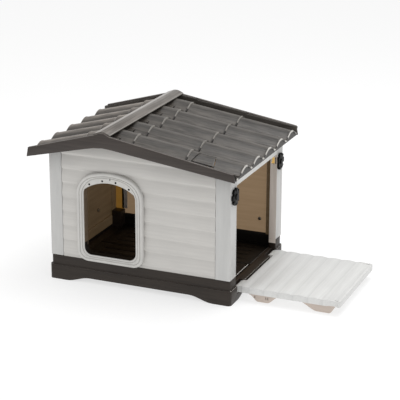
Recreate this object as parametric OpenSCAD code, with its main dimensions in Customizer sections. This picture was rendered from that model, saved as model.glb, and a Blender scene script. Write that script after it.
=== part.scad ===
// Pet kennel with a pitched tile roof, a front doorway and a fold-down side wall on two legs.
// X runs along the gable front, Y runs to the back, Z is up. Units are millimetres.
// The origin is the centre of the base on the ground, and every hinge is drawn at rest:
// the side wall lies open as a veranda, its legs stand and the vent hatch is shut.

/* [House] */
// Width of the walls across the gable front
house_w = 776; // [740:1:800]
// Depth of the walls from front to back
house_d = 580; // [560:1:600]
// Height of the top of the base, where the walls start
band_top = 101; // [90:1:115]
// Height of the skirt's ledge
skirt_h = 61; // [61:1:66]
// Rise of the arch between the base's feet
arch_h = 22; // [10:1:24]
// Length of each foot of the base along the front
foot_len = 76; // [60:1:90]

/* [Walls] */
// Thickness of a wall
wall_t = 14; // [12:1:18]
// Height of one moulded plank
plank_h = 59.6; // [50:0.1:70]
// Depth of the wave in the planks
plank_wave = 5; // [2:0.5:7]

/* [Doorway] */
// Half the width of the door opening
door_half = 112; // [100:1:115]
// Height of the sill of the door opening
door_sill = 129; // [125:1:140]
// Height of the crown of the door opening
door_top = 437; // [425:1:445]
// How far the door surround stands proud of the wall
surround_t = 15; // [12:1:18]

/* [Roof] */
// Width of the roof across both slopes
roof_w = 880; // [870:1:890]
// Depth of the roof over both gables
roof_d = 719; // [715:1:725]
// Height of the ridge
ridge_z = 661; // [655:1:670]
// Height of the eaves' lower edge
eave_z = 525; // [520:1:530]
// Spacing of the rolls
roll_pitch = 130; // [125:0.5:131]
// Height of a roll over its pan
roll_h = 27; // [20:1:30]

/* [Side wall] */
// Width of the fold-down side wall, along Y
panel_w = 440; // [430:1:444]
// Length of the side wall from its hinge axis
panel_len = 424; // [400:0.1:430]
// Depth of the side wall's edge flange
panel_t = 26; // [18:1:27]

/* [Latches] */
// Radius of the latch knob
knob_r = 35; // [33:1:36]
// Radius of the latch spindle
spindle_r = 5; // [4:0.5:6]

/* [Hidden] */

// Colours
taupe = [0.33, 0.30, 0.28];
dark_brown = [0.22, 0.19, 0.17];
floor_brown = [0.14, 0.12, 0.10];
warm_white = [0.82, 0.81, 0.79];
panel_white = [0.88, 0.88, 0.86];
leg_beige = [0.80, 0.74, 0.69];
latch_black = [0.06, 0.06, 0.06];
steel = [0.70, 0.71, 0.72];

$fn = 64;
eps = 0.01;             // overlap that fuses solids of one piece
cut = 1;                // overrun of a cutting tool
running = 0.05;         // radial clearance of a pin in its bore
far = 900;              // longer than the object in any direction

hx = house_w / 2;       // outer face of the side walls
hy = house_d / 2;       // outer face of the front and rear walls

// Base
skirt_lip = 6;          // the skirt stands this far outside the walls
skirt_t = 5;            // skirt wall
corner_r = 14;          // upright corners of the skirt
band_t = 20;            // ring that carries the walls
rim_h = 5;              // inner lip behind the walls
ramp_len = 100;         // from a foot to the flat of the arch
ramp_steps = 8;
deck_z = 46;            // underside of the floor deck
deck_t = 6;
floor_t = 6;            // loose drain floor
floor_gap = 4;
threshold_x = 370;      // side doorway: face of the base behind the hinge
threshold_z = 59.5;
tongue_half = 144;      // sill tongue between the hinge ears
tongue_x = 395;
boss_len = 12;          // length of a hinge pin's seat in the base
bar_low = 28;           // underside of the tongue and of the threshold bar
bar_t = 14;             // thickness of the threshold bar
sill_in = 30;           // the side doorway starts this far behind the threshold's face
socket_len = 62;        // sockets for the left posts, from the outer faces of the walls
socket_rise = 24;
floor_front_x = 346;    // right-hand ends of the drain floor's halves
floor_rear_x = 352;
floor_split = 22;       // the halves meet here
channel_in = 50;        // the drain channels stop this far from a half's ends
channel_half = 4;
channel_depth = 2;

// Posts
post_w_left = 54;
post_w_right = 61;
post_t = 18;
jamb_t = 30;            // thickness of the posts beside the side doorway
opening_half = 226;     // half the width of the side doorway
lintel_t = 24;
lintel_z = 472;         // underside of the lintel
slot_w = 14;
slot_z = 443.5;
slot_h = 32;
slot_depth = 12;

// Roof
roof_x0 = -9.6 - roof_w / 2;     // left eave
roof_x1 = -9.6 + roof_w / 2;     // right eave
ridge_x = -118.5;                // the ridge stands over the door
ry = roof_d / 2;
fascia_t = 10;
roof_gap = 0.2;                  // slope to fascia
tile_y = ry - fascia_t - roof_gap;
crown_ridge = 651;               // crown of the rolls at the ridge
crown_left = 556;                // and at the two eaves
crown_right = 561;
first_roll = -241;               // crown of the front roll
rolls = 5;
skin = 6;                        // thickness of the tile skin
step = 4.5;                      // each course starts this far below the last
verge_w = 6;
verge_drop = 5;                  // the front verge's lip lies this far under the crowns
course_right = 222;              // horizontal length of a full course
course_left = 220;
course_lap = 8;
roof_half_gap = 1.5;             // each half stops short of the ridge line
eave_t = 6;
slope_right = (crown_ridge - crown_right) / (roof_x1 - ridge_x);
slope_left = (crown_ridge - crown_left) / (ridge_x - roof_x0);
under_roof = roll_h + skin + step + 2;   // walls stop this far under the crown line

// Ridge cap
cap_half = 33;           // right of the ridge; the left half is wider
cap_half_left = 37;
cap_flat = 9.5;
cap_drop = 11;
cap_t = 4;
cap_y = 355;

// Fascia
fascia_top_left = 564;
fascia_top_right = 559;
fascia_top_rear = 564;   // the rear fascia's right end
fascia_in = 7;           // the eave ends lean out by this much
fascia_left_rise = 0.235;
fascia_right_rise = 0.134;
fascia_blend = 6;        // softness of the bottom edge under the ridge
fascia_steps = 24;

// Vent, in the front roll of the lowest right-hand course
vent_x = 227;
vent_len = 98;           // along the front edge
vent_lean = 13;          // each side leans in by this much towards the hinge
vent_y0 = -297;
vent_y1 = -243;
vent_gap = 1.5;
vent_front_gap = 6;      // room for the front edge, which swings out before it rises
vent_hinge_gap = 4.2;
vent_pin_r = 1.5;
vent_knuckle_r = 3.5;
vent_boss_r = 4;
vent_boss_len = 9;
grille_t = 1.6;
grille_slots = 5;
grille_slot = 7;

// Side wall, hinge and legs
hinge_x = 388;
hinge_z = 44;
pin_r = 4;
panel_top = 60;
panel_skin = 3.5;
panel_edge = 4;
notch_x = 18;            // the plate starts this far out from the hinge axis
ear_r = 12;
ear_y0 = 150;
ear_y1 = panel_w / 2 - 2;
panel_wave = 4.5;
panel_pitch = 59.6;
panel_corner = 7;
panel_x1 = hinge_x + panel_len;
panel_bottom = panel_top - panel_t;
leg_y = 202.5;
leg_axis_z = 48;
leg_t = 8;
leg_top = 41;
leg_x0 = 437;
leg_x1 = 797;
leg_knuckle_r = 5;
leg_pin_r = 2.5;
leg_knuckles = [455, 740];   // where each leg's two knuckles start
knuckle_len = 30;
lug_gap = 1;
lug_t = 7;
lug_half = 6;
foot_a0 = 474;               // the two feet of a leg and the arch between them
foot_a1 = 512;
foot_b0 = 718;
foot_b1 = 766;
leg_arch_h = 30;
leg_ramp = 46;
leg_end_h = 25;

// Latches
latch_y = 249.7;
latch_z = 436.6;
knob_x = hx + 1;
knob_t = 8;
hub_r = 12;
hub_t = 4;
knob_flat = 26.5;            // the flat faces the doorway and frees the side wall
notch_count = 7;
notch_w = 9;
notch_depth = 10;
pocket_r = 38;
pocket_wall = 4;
pocket_depth = 12;
clip_r = 9;
clip_t = 3;
spindle_in = 8;              // the spindle's end inside the doorway post

// Outer edge of the door surround
surround_half = 144.5;
surround_low = 100;
surround_low_r = 46;
surround_top = 478;
surround_r = 260;        // shallow arc over the doorway
shoulder_r = 92;
shoulder_z = 377.6;
surround_step = 8;       // the front face is this much smaller than the edge at the wall
surround_bevel = 20;     // the rebate starts this far inside the edge
rebate = 4;
sleeve_t = 4;            // sleeve through the wall
liner_w = 16;            // ring inside the room
liner_t = 7;

// Doorway: radius of the crown's arc and of the corners at the sill
crown_r = 181;
sill_r = 30;

// Holes over the doorway, measured from the ridge line
hole_offsets = [-86, -29, 29, 86];
hole_r = 3;
hole_rise = 11;
hole_arc = 330;          // the outer holes sit lower, on an arc

// Small parts inside
bolt_r = 7;
bolt_h = 5;
bolt_x = 298;
bolt_x_left = 240;
bolt_y = 104;
bolt_z = [166, 430];

// ---------------------------------------------------------------- helpers

// Extrudes a (y, z) outline along +X from x = 0
module along_x(len) {
    rotate([90, 0, 90]) linear_extrude(len) children();
}

// Extrudes an (x, z) outline along Y between y0 and y1
module along_y(y0, y1) {
    translate([0, y1, 0]) rotate([90, 0, 0]) linear_extrude(y1 - y0) children();
}

// Box between two corners
module block(a, b) {
    translate(a) cube(b - a);
}

// Round bar along X, Y
module bar_x(x0, x1, y, z, r) {
    translate([x0, y, z]) rotate([0, 90, 0]) cylinder(h = x1 - x0, r = r);
}

module bar_y(y0, y1, x, z, r) {
    translate([x, y1, z]) rotate([90, 0, 0]) cylinder(h = y1 - y0, r = r);
}

// Rectangle between two corners with rounded corners
module round_rect(a, b, r) {
    translate([a.x + r, a.y]) square([b.x - a.x - 2 * r, b.y - a.y]);
    translate([a.x, a.y + r]) square([b.x - a.x, b.y - a.y - 2 * r]);
    for (x = [a.x + r, b.x - r], y = [a.y + r, b.y - r]) translate([x, y]) circle(r);
}

module round_block(half_x, half_y, r, z0, z1) {
    translate([0, 0, z0]) linear_extrude(z1 - z0) {
        round_rect([-half_x, -half_y], [half_x, half_y], r);
    }
}

// Smooth step from 0 to 1
function ease(t) = t <= 0 ? 0 : t >= 1 ? 1 : t * t * (3 - 2 * t);

// Height of the crown line of the tiles over x
function crown(x) = x > ridge_x
    ? crown_ridge - slope_right * (x - ridge_x)
    : crown_ridge - slope_left * (ridge_x - x);

// The space under the roof that walls and posts may fill
module below_roof() {
    along_y(-far, far) polygon([
        [roof_x0, 0],
        [roof_x0, crown(roof_x0) - under_roof],
        [ridge_x, crown_ridge - under_roof],
        [roof_x1, crown(roof_x1) - under_roof],
        [roof_x1, 0],
    ]);
}

// Section of a planked wall: waves outside (towards -Y), flat inside
function plank_out(z) = plank_wave * (1 - sqrt(abs(sin(180 * (z - band_top - 11.5) / plank_h))));
module plank_section(top) {
    n = ceil((top - band_top) / (plank_h / 8));
    outer = [for (i = [0 : n]) let (z = band_top + (top - band_top) * i / n) [-hy + plank_out(z), z]];
    polygon(concat(outer, [[-hy + wall_t, top], [-hy + wall_t, band_top]]));
}

// ---------------------------------------------------------------- base

// Outline of the opening under one side of the skirt, w wide over all
module skirt_arch(w) {
    half = w / 2 - foot_len;
    left = [for (i = [0 : ramp_steps])
        [-half + ramp_len * i / ramp_steps, arch_h * ease(i / ramp_steps)]];
    right = [for (p = left) [-p.x, p.y]];
    polygon(concat([[-half, -cut]], left, [for (i = [ramp_steps : -1 : 0]) right[i]], [[half, -cut]]));
}

module base_shell() {
    out_x = hx + skirt_lip;
    out_y = hy + skirt_lip;
    difference() {
        union() {
            round_block(out_x, out_y, corner_r, 0, skirt_h);
            round_block(hx, hy, corner_r - 2, skirt_h - eps, band_top);
            round_block(hx - wall_t, hy - wall_t, 2, band_top - eps, band_top + rim_h);
        }
        // hollow under the deck, and the room above it
        round_block(out_x - skirt_t, out_y - skirt_t, corner_r - skirt_t, -cut, deck_z);
        round_block(hx - band_t, hy - band_t, 8, deck_z + deck_t, band_top + rim_h + cut);
        along_y(-far, far) skirt_arch(2 * out_x);
        translate([-far, 0, 0]) along_x(2 * far) skirt_arch(2 * out_y);
        // the side doorway
        block([threshold_x - sill_in, -opening_half, threshold_z], [far, opening_half, far]);
        // the posts' feet, which the inner lip leaves free
        for (sx = [-1, 1], sy = [-1, 1]) scale([sx, sy, 1]) {
            block([hx - post_w_right - 1, hy - post_w_right - 4, band_top], [far, far, far]);
        }
    }
}

// Recesses beside the sill tongue, where the ears of the side wall turn
module ear_recesses() {
    for (s = [-1, 1]) scale([1, s, 1]) {
        block([threshold_x, tongue_half, bar_low], [far, opening_half, far]);
    }
}

module base_tray() {
    color(dark_brown) difference() {
        union() {
            base_shell();
            // solid tongue and threshold bar
            block([threshold_x - bar_t, -opening_half, bar_low], [threshold_x, opening_half, threshold_z]);
            block([threshold_x - eps, -tongue_half, bar_low], [tongue_x, tongue_half, threshold_z]);
            // seats for the outer ends of the hinge pins
            for (s = [-1, 1]) scale([1, s, 1]) {
                block([threshold_x - bar_t, opening_half, bar_low],
                    [hx + skirt_lip - 2, opening_half + boss_len, skirt_h]);
                block([hx - jamb_t, opening_half, deck_z], [hx - eps, hy - band_t + cut, band_top]);
            }
            // sockets for the posts
            for (s = [-1, 1]) scale([1, s, 1]) {
                block([-hx + band_t - 1, hy - socket_len, deck_z],
                    [-hx + socket_len, hy - band_t + 1, band_top + socket_rise]);
            }
        }
        ear_recesses();
        for (s = [-1, 1]) scale([1, s, 1]) {
            bar_y(tongue_half - boss_len, opening_half + boss_len, hinge_x, hinge_z, pin_r);
        }
    }
}

// Drain floor half between y0 and y1, with shallow channels
module floor_panel(y0, y1, x1) {
    color(floor_brown) difference() {
        x0 = -hx + socket_len + floor_gap;
        block([x0, y0, deck_z + deck_t], [x1, y1, deck_z + deck_t + floor_t]);
        for (i = [1 : 4]) {
            y = y0 + (y1 - y0) * i / 5;
            block([x0 + channel_in, y - channel_half, deck_z + deck_t + floor_t - channel_depth],
                [x1 - channel_in, y + channel_half, far]);
        }
    }
}

module floor_panel_front() {
    floor_panel(-hy + band_t + floor_gap, floor_split - floor_gap / 2, floor_front_x);
}

module floor_panel_rear() {
    floor_panel(floor_split + floor_gap / 2, hy - band_t - floor_gap, floor_rear_x);
}

// ---------------------------------------------------------------- walls

// Opening of the doorway, grown by g: rounded at the sill, cut off by the crown's arc
module doorway(g) {
    intersection() {
        round_rect([ridge_x - door_half - g, door_sill - g],
            [ridge_x + door_half + g, door_top + sill_r], sill_r + g);
        union() {
            translate([ridge_x, door_top - crown_r]) circle(crown_r + g, $fn = 128);
            translate([ridge_x - 2 * door_half, 0]) square([4 * door_half, door_top - crown_r]);
        }
    }
}

// Outer edge of the door surround, grown by g
module surround_edge(g) {
    half = surround_half + g;
    r = shoulder_r + g;
    inner = half - r;
    round_rect([ridge_x - half, surround_low - g], [ridge_x + half, shoulder_z], surround_low_r + g);
    translate([ridge_x - half, shoulder_z - r]) square([2 * half, r]);
    for (s = [-1, 1]) translate([ridge_x + s * inner, shoulder_z]) circle(r);
    translate([ridge_x - inner, shoulder_z]) square([2 * inner, r]);
    intersection() {
        translate([ridge_x, surround_top + g - surround_r]) circle(surround_r, $fn = 128);
        translate([ridge_x - inner - r / 4, shoulder_z]) square([2 * inner + r / 2, surround_r]);
    }
}

module gable_wall() {
    intersection() {
        translate([-hx + post_w_left, 0, 0]) along_x(2 * hx - post_w_left - post_w_right) {
            plank_section(crown_ridge - under_roof + 2);
        }
        below_roof();
    }
}

module front_wall() {
    color(warm_white) difference() {
        gable_wall();
        along_y(-far, 0) doorway(sleeve_t + 0.5);
    }
}

module rear_wall() {
    color(warm_white) mirror([0, 1, 0]) gable_wall();
}

module left_wall() {
    color(warm_white) intersection() {
        translate([hy - hx, 0, 0]) rotate([0, 0, -90]) translate([-hy + post_w_left, 0, 0]) {
            along_x(2 * hy - 2 * post_w_left) plank_section(crown(-hx) + 4);
        }
        below_roof();
    }
}

module left_post() {
    intersection() {
        union() {
            block([-hx, -hy, band_top], [-hx + post_w_left, -hy + post_t, far]);
            block([-hx, -hy, band_top], [-hx + post_t, -hy + post_w_left, far]);
        }
        below_roof();
    }
}

// Post beside the side doorway, with the spindle's bore and a slot in its reveal
module right_post() {
    difference() {
        intersection() {
            union() {
                block([hx - post_w_right, -hy, band_top], [hx, -hy + post_t, far]);
                block([hx - jamb_t, -hy, band_top], [hx, -opening_half, far]);
            }
            below_roof();
        }
        bar_x(hx - jamb_t - cut, hx + cut, -latch_y, latch_z, spindle_r + running);
        slot_x = hx - jamb_t / 2 - 3;
        for (s = [-1, 1]) {
            bar_y(-opening_half - slot_depth, -opening_half + cut, slot_x,
                slot_z + s * (slot_h - slot_w) / 2, slot_w / 2);
        }
        block([slot_x - slot_w / 2, -opening_half - slot_depth, slot_z - (slot_h - slot_w) / 2],
            [slot_x + slot_w / 2, -opening_half + cut, slot_z + (slot_h - slot_w) / 2]);
    }
}

module post_front_left() {
    color(warm_white) left_post();
}

module post_rear_left() {
    color(warm_white) mirror([0, 1, 0]) left_post();
}

module post_front_right() {
    color(warm_white) right_post();
}

module post_rear_right() {
    color(warm_white) mirror([0, 1, 0]) right_post();
}

module side_lintel() {
    color(warm_white) intersection() {
        union() {
            block([hx - lintel_t, -opening_half, lintel_z], [hx, opening_half, far]);
            block([hx - jamb_t, -opening_half, lintel_z + 20], [hx, opening_half, far]);
        }
        below_roof();
    }
}

// Frame round the doorway: a stepped ring outside and a sleeve through the wall
module door_surround() {
    color(warm_white) difference() {
        union() {
            along_y(-hy - surround_t * 0.6, -hy) surround_edge(0);
            along_y(-hy - surround_t, -hy) surround_edge(-surround_step);
            along_y(-hy - 1, -hy + wall_t) doorway(sleeve_t);
        }
        along_y(-far, 0) doorway(0);
        // rebates that step the ring down to the opening
        difference() {
            along_y(-far, -hy - surround_t + rebate) surround_edge(-surround_bevel);
            along_y(-far, 0) doorway(-cut);
        }
        for (dx = hole_offsets) {
            hole_z = door_top + hole_rise - dx * dx / hole_arc;
            along_y(-far, 0) translate([ridge_x + dx, hole_z]) circle(hole_r);
        }
    }
}

// Ring that clamps the surround from inside the room
module door_liner() {
    color(warm_white) along_y(-hy + wall_t, -hy + wall_t + liner_t) difference() {
        doorway(liner_w);
        doorway(0);
    }
}

// Round nuts of the tie bolts on the inner faces of the rear and left walls
module wall_bolts() {
    color(steel) {
        for (x = [-bolt_x_left, bolt_x], z = bolt_z) {
            bar_y(hy - wall_t - bolt_h, hy - wall_t, x, z, bolt_r);
        }
        for (y = [-bolt_y, bolt_y], z = bolt_z) {
            bar_x(-hx + wall_t, -hx + wall_t + bolt_h, y, z, bolt_r);
        }
    }
}

// ---------------------------------------------------------------- roof

// Height of the tile surface over its crown line, 0 on a crown and -roll_h in a pan
function roll_at(y, yc) = pow(0.5 + 0.5 * cos(360 * (y - yc) / roll_pitch), 0.6);
function tile(y) =
    y < first_roll - roll_pitch / 2 ? -roll_h : -roll_h * (1 - roll_at(y, first_roll));
tile_ys = concat(
    [-tile_y - cut, -tile_y + verge_w, -tile_y + verge_w + 7, first_roll - roll_pitch / 2],
    [for (i = [1 : 16 * rolls - 1]) let (y = first_roll + roll_pitch * (i / 16 - 0.5))
        if (y < tile_y - verge_w - 6) y],
    [tile_y - verge_w - 5, tile_y - verge_w, tile_y + cut]);
function tile_z(i) =     // with a lip at both verges
    i < 2 ? -verge_drop : i > len(tile_ys) - 3 ? 0 : tile(tile_ys[i]);

// Section of one course: the rolls above, the same wave a skin lower below
module course_section(low) {
    n = len(tile_ys) - 1;
    polygon(concat(
        [for (i = [0 : n]) [tile_ys[i], tile_z(i)]],
        [for (i = [n : -1 : 0]) [tile_ys[i], min(tile_z(i), 0) - low]]));
}

// Section of the closed eave: half a skin under the rolls above, a straight edge below
module eave_section(low) {
    n = len(tile_ys) - 1;
    polygon(concat(
        [for (i = [0 : n]) [tile_ys[i], tile_z(i) - skin / 2]],
        [[tile_ys[n], -low], [tile_ys[0], -low]]));
}

// One course from horizontal distance a to b from the ridge, on a slope
module course(a, b, slope) {
    drop = slope * (b - a) - step;
    angle = atan(drop / (b - a));
    len = (b - a) / cos(angle);
    translate([a, 0, crown_ridge - slope * a - step]) rotate([0, angle, 0]) {
        translate([-course_lap, 0, 0]) along_x(len + course_lap) course_section(skin);
    }
}

// One slope: courses at the given distances from the ridge, and the closed eave
module slope_shell(ends, slope) {
    n = len(ends) - 1;
    intersection() {
        union() {
            for (i = [0 : n - 1]) course(ends[i], ends[i + 1], slope);
            translate([ends[n] - eave_t, 0, crown_ridge - slope * ends[n]]) {
                along_x(eave_t) eave_section(crown_ridge - slope * ends[n] - eave_z + cut);
            }
        }
        block([roof_half_gap, -tile_y, eave_z], [ends[n], tile_y, far]);
    }
}

span_right = roof_x1 - ridge_x;
span_left = ridge_x - roof_x0;
ends_right = [0, span_right - 2 * course_right, span_right - course_right, span_right];
ends_left = [0, span_left - course_left, span_left];

// Frame of the course that carries the vent: x' down the slope from the course's top end
vent_course = ends_right[2];
vent_angle = atan((slope_right * course_right - step) / course_right);
vent_s0 = (vent_x - ridge_x - vent_course) / cos(vent_angle);
vent_axis_z = -roll_h * (1 - roll_at(vent_y1, first_roll)) - 4;
function vent_side(y) = vent_lean * (y - vent_y0) / (vent_y1 - vent_y0);
vent_pin = [vent_s0 + vent_lean - vent_boss_len + 2,
    vent_s0 + vent_len - vent_lean + vent_boss_len - 2];
module on_vent_course() {
    translate([ridge_x + vent_course, 0, crown_ridge - slope_right * vent_course - step]) {
        rotate([0, vent_angle, 0]) children();
    }
}

// Plan of the vent between y0 and y1, its sides drawn in by g
module vent_plan(g, y0, y1) {
    a = vent_s0 + g;
    b = vent_s0 + vent_len - g;
    translate([0, 0, -far / 2]) linear_extrude(far) polygon([
        [a + vent_side(y0), y0], [b - vent_side(y0), y0],
        [b - vent_side(y1), y1], [a + vent_side(y1), y1]]);
}

module roof_left() {
    color(taupe) translate([ridge_x, 0, 0]) mirror([1, 0, 0]) slope_shell(ends_left, slope_left);
}

module roof_right() {
    color(taupe) difference() {
        union() {
            translate([ridge_x, 0, 0]) slope_shell(ends_right, slope_right);
            on_vent_course() for (x = [vent_pin[0] - 2, vent_pin[1] + 2 - vent_boss_len]) {
                bar_x(x, x + vent_boss_len, vent_y1, vent_axis_z, vent_boss_r);
            }
        }
        on_vent_course() {
            vent_plan(0, vent_y0, vent_y1 + vent_hinge_gap);
            bar_x(vent_pin[0], vent_pin[1], vent_y1, vent_axis_z, vent_pin_r);
        }
    }
}

// Slotted plate under the hatch, bent like the roll and fixed under its skin
module vent_grille() {
    color(dark_brown) on_vent_course() difference() {
        intersection() {
            translate([vent_s0 - 8, 0, -skin - 0.3]) along_x(vent_len + 16) course_section(grille_t);
            block([-far, vent_y0 - 8, -far], [far, vent_y1 - 7, far]);
        }
        for (i = [0 : grille_slots - 1]) {
            x = vent_s0 + vent_len * (i + 0.5) / grille_slots;
            block([x - grille_slot / 2, vent_y0 + 5, -far], [x + grille_slot / 2, vent_y1 - 13, far]);
        }
    }
}

module vent_hatch() {
    x0 = vent_s0 + vent_lean + vent_gap;
    x1 = vent_s0 + vent_len - vent_lean - vent_gap;
    color(taupe) on_vent_course() difference() {
        union() {
            intersection() {
                translate([vent_s0, 0, 0]) along_x(vent_len) course_section(skin - 2);
                vent_plan(vent_gap, vent_y0 + vent_front_gap, vent_y1);
            }
            bar_x(x0, x1, vent_y1, vent_axis_z, vent_knuckle_r);
        }
        bar_x(x0 - cut, x1 + cut, vent_y1, vent_axis_z, vent_pin_r + running);
    }
}

module vent_hinge_pin() {
    color(steel) on_vent_course() bar_x(vent_pin[0], vent_pin[1], vent_y1, vent_axis_z, vent_pin_r);
}

// Outline of the ridge cap, lowered by d
function cap_points(d) = [
    [ridge_x - cap_half_left, ridge_z - cap_drop - d],
    [ridge_x - cap_flat, ridge_z - d],
    [ridge_x + cap_flat, ridge_z - d],
    [ridge_x + cap_half, ridge_z - cap_drop - d],
];

module ridge_cap() {
    under = cap_points(cap_t);
    color(taupe) along_y(-cap_y, cap_y) {
        polygon(concat(cap_points(0), [for (i = [3 : -1 : 0]) under[i]]));
    }
}

// Bottom edge of the fascia: two straight runs that blend under the ridge
function fascia_low(x) =
    let (a = eave_z + fascia_left_rise * (x - roof_x0), b = eave_z + fascia_right_rise * (roof_x1 - x))
    -fascia_blend * ln(exp(-(a - 500) / fascia_blend) + exp(-(b - 500) / fascia_blend)) + 500;

module fascia(top_right) {
    under = cap_points(cap_t + 0.2);
    bottom = [for (i = [fascia_steps : -1 : 0])
        let (x = roof_x0 + (roof_x1 - roof_x0) * i / fascia_steps) [x, fascia_low(x)]];
    polygon(concat(
        [[roof_x0 + fascia_in, fascia_top_left]], under, [[roof_x1 - fascia_in, top_right]], bottom));
}

module front_fascia() {
    color(dark_brown) along_y(-ry, -ry + fascia_t) fascia(fascia_top_right);
}

module rear_fascia() {
    color(dark_brown) along_y(ry - fascia_t, ry) fascia(fascia_top_rear);
}

// ---------------------------------------------------------------- side wall

// Solid under the wavy top of the side wall, lowered by d and cut off at z0
function panel_wave_at(x) = panel_wave * (1 - sqrt(abs(sin(180 * (x - hinge_x + 6) / panel_pitch))));
module panel_mass(d, z0) {
    n = ceil(panel_len / (panel_pitch / 8));
    xs = [for (i = [0 : n]) hinge_x + panel_len * i / n];
    top = [for (x = xs) [x, panel_top - panel_wave_at(x) - d]];
    along_y(-panel_w / 2, panel_w / 2) polygon(concat(top, [[panel_x1, z0], [hinge_x, z0]]));
}

// Plan of the side wall, inset by g
module panel_plan(g) {
    half = panel_w / 2 - g;
    round_rect([hinge_x + notch_x + g, -half], [panel_x1 - g, half], panel_corner - g);
}

// Space that a latch knob takes when it is turned over the closed side wall
module latch_pocket(r, z0, z1) {
    for (s = [-1, 1]) {
        translate([hinge_x + latch_z - hinge_z, s * latch_y, z0]) cylinder(h = z1 - z0, r = r);
    }
}

// Ears, lugs and pocket walls of the side wall, as tall bars that panel_mass trims
module panel_ribs() {
    for (s = [-1, 1]) scale([1, s, 1]) {
        block([hinge_x, ear_y0, panel_bottom], [hinge_x + notch_x + panel_edge, ear_y1, far]);
        for (x = leg_knuckles, dx = [-lug_gap - lug_t, knuckle_len + lug_gap]) {
            bar_x(x + dx, x + dx + lug_t, leg_y, leg_axis_z, lug_half);
            block([x + dx, leg_y - lug_half, leg_axis_z], [x + dx + lug_t, leg_y + lug_half, far]);
        }
    }
    intersection() {
        latch_pocket(pocket_r + pocket_wall, panel_bottom, far);
        linear_extrude(far) panel_plan(0);
    }
}

module side_panel() {
    color(panel_white) difference() {
        union() {
            difference() {
                intersection() {
                    panel_mass(0, panel_bottom);
                    linear_extrude(far) panel_plan(0);
                }
                intersection() {
                    panel_mass(panel_skin, 0);
                    linear_extrude(far) panel_plan(panel_edge);
                }
            }
            intersection() {
                panel_mass(0, 0);
                panel_ribs();
            }
            for (s = [-1, 1]) scale([1, s, 1]) bar_y(ear_y0, ear_y1, hinge_x, hinge_z, ear_r);
        }
        latch_pocket(pocket_r, -cut, panel_bottom + pocket_depth);
        bar_y(-far, far, hinge_x, hinge_z, pin_r + running);
        for (s = [-1, 1], x = leg_knuckles) {
            bar_x(x - lug_gap - lug_t - cut, x + knuckle_len + lug_gap + lug_t + cut,
                s * leg_y, leg_axis_z, leg_pin_r);
        }
    }
}

module panel_hinge_pin() {
    color(steel) bar_y(tongue_half - boss_len, opening_half + boss_len, hinge_x, hinge_z, pin_r);
}

module panel_hinge_pin_front() {
    mirror([0, 1, 0]) panel_hinge_pin();
}

module panel_hinge_pin_rear() {
    panel_hinge_pin();
}

// Bottom edge of a leg rail: two feet, an arch between them and raised ends
function leg_low(x) =
    x < foot_a0 ? leg_end_h * ease((foot_a0 - x) / 35) :
    x < foot_a1 ? 0 :
    x < foot_b0 ? leg_arch_h * min(ease((x - foot_a1) / leg_ramp), ease((foot_b0 - x) / (leg_ramp + 30))) :
    x < foot_b1 ? 0 :
    (leg_end_h + 9) * ease((x - foot_b1) / 30);

module leg_rail() {
    n = 72;
    low = [for (i = [0 : n]) let (x = leg_x0 + (leg_x1 - leg_x0) * i / n) [x, leg_low(x)]];
    difference() {
        union() {
            along_y(leg_y - leg_t / 2, leg_y + leg_t / 2) {
                polygon(concat(low, [[leg_x1, leg_top], [leg_x0, leg_top]]));
            }
            for (x = leg_knuckles) {
                bar_x(x, x + knuckle_len, leg_y, leg_axis_z, leg_knuckle_r);
                block([x, leg_y - leg_t / 2, leg_top - 1], [x + knuckle_len, leg_y + leg_t / 2, leg_axis_z]);
            }
        }
        for (x = leg_knuckles) {
            bar_x(x - cut, x + knuckle_len + cut, leg_y, leg_axis_z, leg_pin_r + running);
        }
    }
}

module leg_hinge_pins() {
    color(steel) for (x = leg_knuckles) {
        bar_x(x - lug_gap - lug_t, x + knuckle_len + lug_gap + lug_t, leg_y, leg_axis_z, leg_pin_r);
    }
}

module panel_leg_front() {
    color(leg_beige) mirror([0, 1, 0]) leg_rail();
}

module panel_leg_rear() {
    color(leg_beige) leg_rail();
}

module leg_hinge_pins_front() {
    mirror([0, 1, 0]) leg_hinge_pins();
}

module leg_hinge_pins_rear() {
    leg_hinge_pins();
}

// ---------------------------------------------------------------- latches

// Disc with rim notches, a raised hub and a flat towards the doorway; s is -1 front, 1 rear
module latch_knob(s) {
    color(latch_black) difference() {
        union() {
            bar_x(knob_x, knob_x + knob_t, s * latch_y, latch_z, knob_r);
            bar_x(knob_x + knob_t - eps, knob_x + knob_t + hub_t, s * latch_y, latch_z, hub_r);
        }
        translate([0, s * latch_y, latch_z]) {
            for (i = [0 : notch_count - 1]) rotate([(i + 0.5) * 360 / notch_count + 90 * (1 + s), 0, 0]) {
                block([knob_x - cut, -knob_r - cut, -notch_w / 2],
                    [knob_x + knob_t + cut, -knob_r + notch_depth, notch_w / 2]);
            }
            scale([1, -s, 1]) {
                block([knob_x - cut, knob_flat, -far / 2], [knob_x + knob_t + cut, far / 2, far / 2]);
            }
        }
        bar_x(knob_x - cut, knob_x + knob_t + hub_t - 2, s * latch_y, latch_z, spindle_r);
    }
}

module latch_spindle(s) {
    color(steel) bar_x(hx - jamb_t - spindle_in, knob_x + knob_t + hub_t - 2, s * latch_y, latch_z, spindle_r);
}

module latch_clip(s) {
    color(steel) difference() {
        bar_x(hx - jamb_t - 1 - clip_t, hx - jamb_t - 1, s * latch_y, latch_z, clip_r);
        bar_x(hx - jamb_t - far, hx, s * latch_y, latch_z, spindle_r);
    }
}

module latch_knob_front() {
    latch_knob(-1);
}

module latch_knob_rear() {
    latch_knob(1);
}

module latch_spindle_front() {
    latch_spindle(-1);
}

module latch_spindle_rear() {
    latch_spindle(1);
}

module latch_clip_front() {
    latch_clip(-1);
}

module latch_clip_rear() {
    latch_clip(1);
}

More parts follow.
